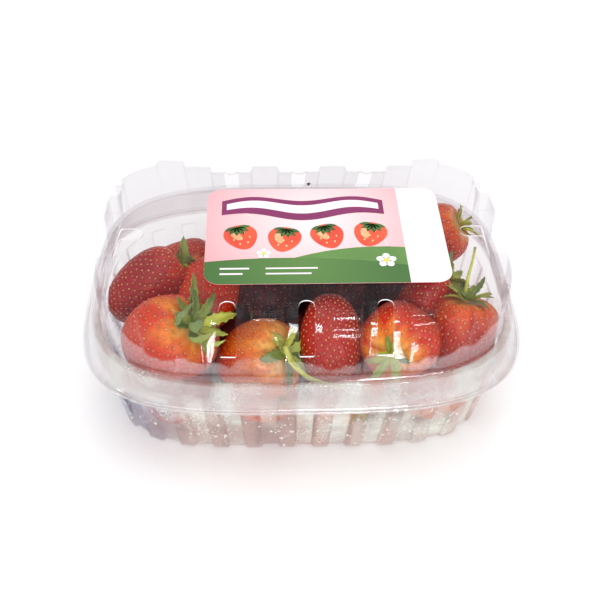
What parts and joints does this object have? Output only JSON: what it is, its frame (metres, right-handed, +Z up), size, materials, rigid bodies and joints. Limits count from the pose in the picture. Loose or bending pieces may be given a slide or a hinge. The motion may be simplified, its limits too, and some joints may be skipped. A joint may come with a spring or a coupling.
{
  "type": "punnet of strawberries",
  "caption": "Shut clear plastic punnet of strawberries: fluted tray, press-fit lid with vent slots, label on the deck, heap of berries inside.",
  "frame": {"origin": "middle of the pack on the surface that it stands on", "axes": "+X along the long side to the right, +Y to the back, +Z up"},
  "size_m": [0.144, 0.102, 0.062],
  "materials": {
    "tray_plastic": "clear thin thermoformed plastic, misted inside",
    "lid_plastic": "clear thin thermoformed plastic, glossy",
    "label_film": "satin printed film",
    "strawberry": "moist red fruit"
  },
  "bodies": {
    "root": {"base_tray": "tray_plastic", "lid": "lid_plastic", "label": "label_film", "berries": "strawberry"}
  },
  "joints": []
}
